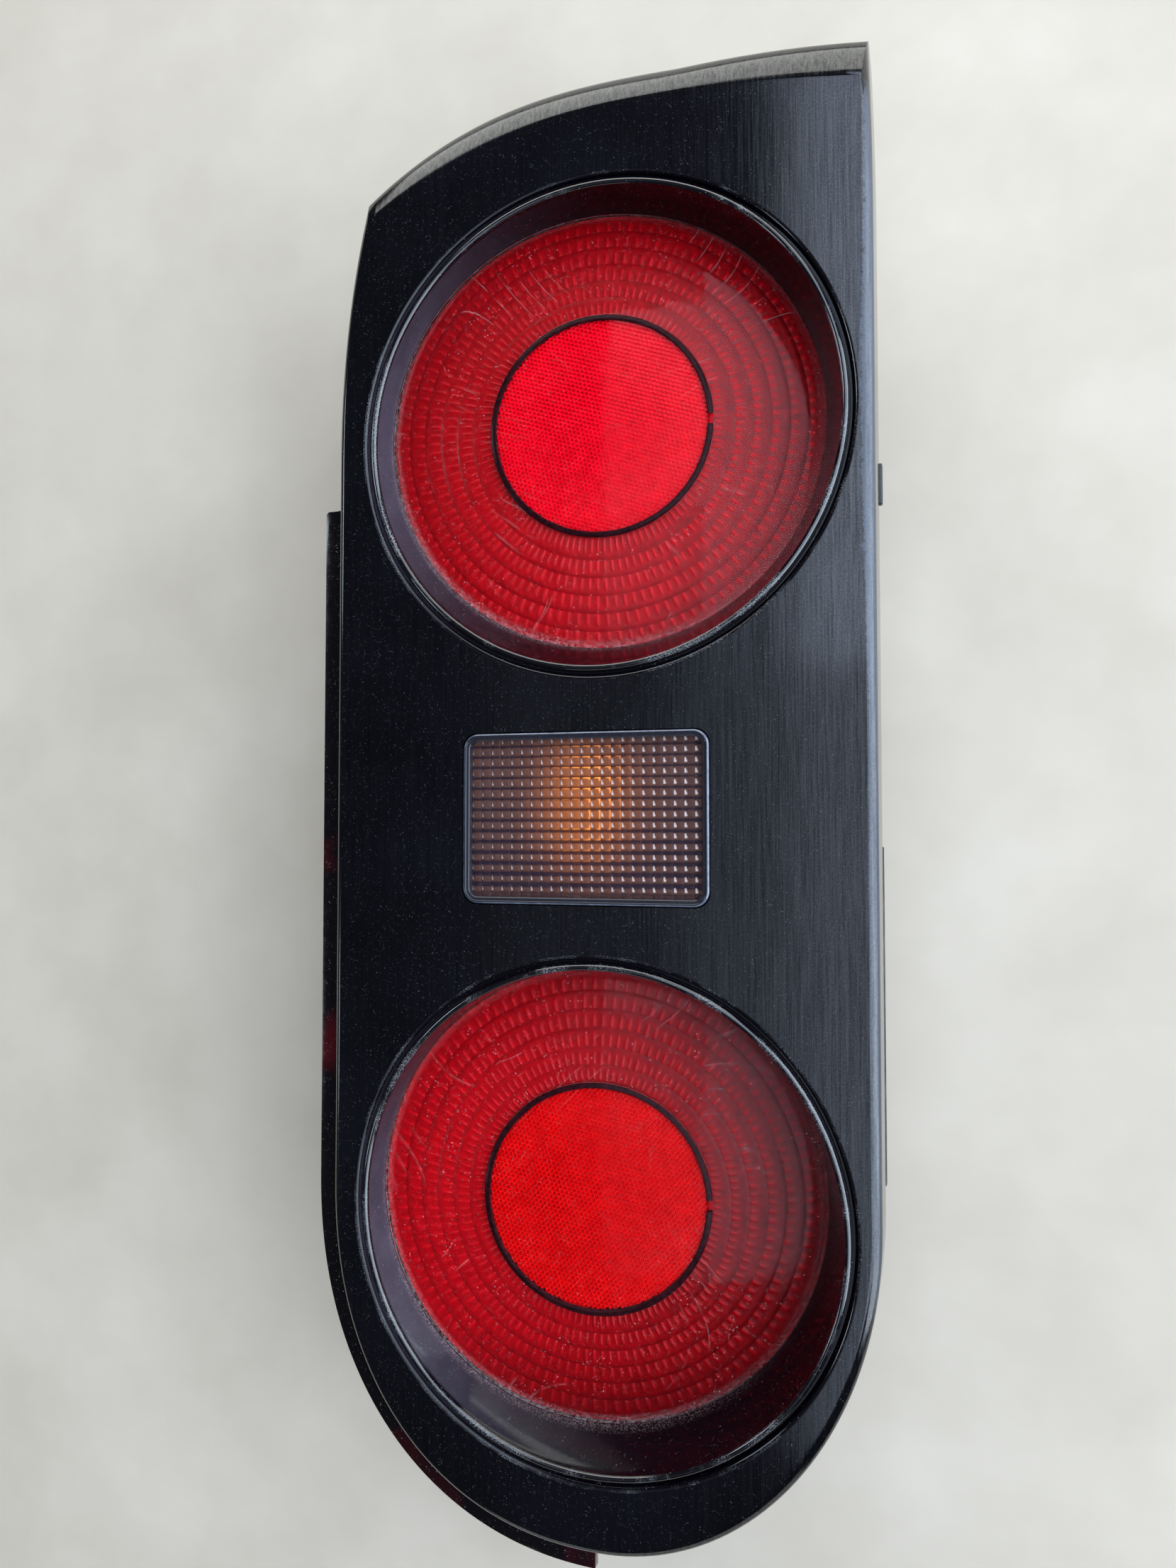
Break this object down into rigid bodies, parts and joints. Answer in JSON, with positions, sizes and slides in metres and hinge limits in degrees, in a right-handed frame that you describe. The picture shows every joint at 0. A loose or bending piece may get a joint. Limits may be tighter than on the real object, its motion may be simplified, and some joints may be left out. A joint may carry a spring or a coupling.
{
  "type": "rear combination lamp",
  "caption": "Vehicle rear lamp cluster: two deep round red lamps and a small indicator window in a smoked cover, with a housing, fixing studs and twist-lock bulb holders.",
  "frame": {"origin": "middle of the lamp's outline at the level of the tips of its four fixing studs, on which it rests when laid on its back", "axes": "+Z out of the lens face, +Y along the lamp to its square end, +X to its straight side"},
  "size_m": [0.173, 0.4368, 0.0905],
  "materials": {
    "cover_black": "smoked gloss acrylic, finely scratched and dusty",
    "flange_smoke": "dark smoked acrylic",
    "rim_black": "gloss moulded lip and wall",
    "lens_red": "clear red acrylic over radial optics",
    "reflex_red": "bright red prismatic reflector",
    "bezel_black": "dark inner ring",
    "window_clear": "clear acrylic with pillow optics",
    "metallised": "vacuum-metallised plastic, mirror bright",
    "housing_black": "fine moulded texture",
    "seal_rubber": "dull",
    "foam_grey": "closed-cell foam",
    "zinc": "zinc plated",
    "holder_grey": "moulded nylon",
    "brass": "dull",
    "bulb_glass": "clear",
    "amber_glass": "amber coated",
    "tungsten": "drawn wire"
  },
  "bodies": {
    "lamp": {"front_cover": "cover_black", "side_flange": "flange_smoke", "upper_rim_ring": "rim_black", "lower_rim_ring": "rim_black", "upper_red_lens": "lens_red", "lower_red_lens": "lens_red", "upper_reflex_disc": "reflex_red", "lower_reflex_disc": "reflex_red", "upper_reflex_bezel": "bezel_black", "lower_reflex_bezel": "bezel_black", "upper_bowl": "metallised", "lower_bowl": "metallised", "indicator_lens": "window_clear", "indicator_bowl": "metallised", "rear_housing": "housing_black", "perimeter_seal": "seal_rubber", "body_gasket": "foam_grey", "upper_left_stud": "zinc", "upper_right_stud": "zinc", "lower_left_stud": "zinc", "lower_right_stud": "zinc"},
    "upper_holder": {"upper_bulb_holder": "holder_grey", "upper_holder_gasket": "seal_rubber", "upper_contact_a": "brass", "upper_contact_b": "brass", "upper_bulb_cap": "brass", "upper_bulb_glass": "bulb_glass", "upper_filament": "tungsten"},
    "indicator_holder": {"indicator_bulb_holder": "holder_grey", "indicator_holder_gasket": "seal_rubber", "indicator_contact_a": "brass", "indicator_contact_b": "brass", "indicator_bulb_cap": "brass", "indicator_bulb_glass": "amber_glass", "indicator_filament": "tungsten"},
    "lower_holder": {"lower_bulb_holder": "holder_grey", "lower_holder_gasket": "seal_rubber", "lower_contact_a": "brass", "lower_contact_b": "brass", "lower_bulb_cap": "brass", "lower_bulb_glass": "bulb_glass", "lower_filament": "tungsten"}
  },
  "joints": [
    {"name": "upper_holder_twist", "type": "hinge", "parent": "lamp", "child": "upper_holder", "pos_m": [0.00395, 0.11546, 0.028], "axis": [0, 0, -1], "range_deg": [0, 45]},
    {"name": "indicator_holder_twist", "type": "hinge", "parent": "lamp", "child": "indicator_holder", "pos_m": [-0.00005, -0.00264, 0.028], "axis": [0, 0, -1], "range_deg": [0, 45]},
    {"name": "lower_holder_twist", "type": "hinge", "parent": "lamp", "child": "lower_holder", "pos_m": [0.00275, -0.11344, 0.028], "axis": [0, 0, -1], "range_deg": [0, 45]}
  ]
}
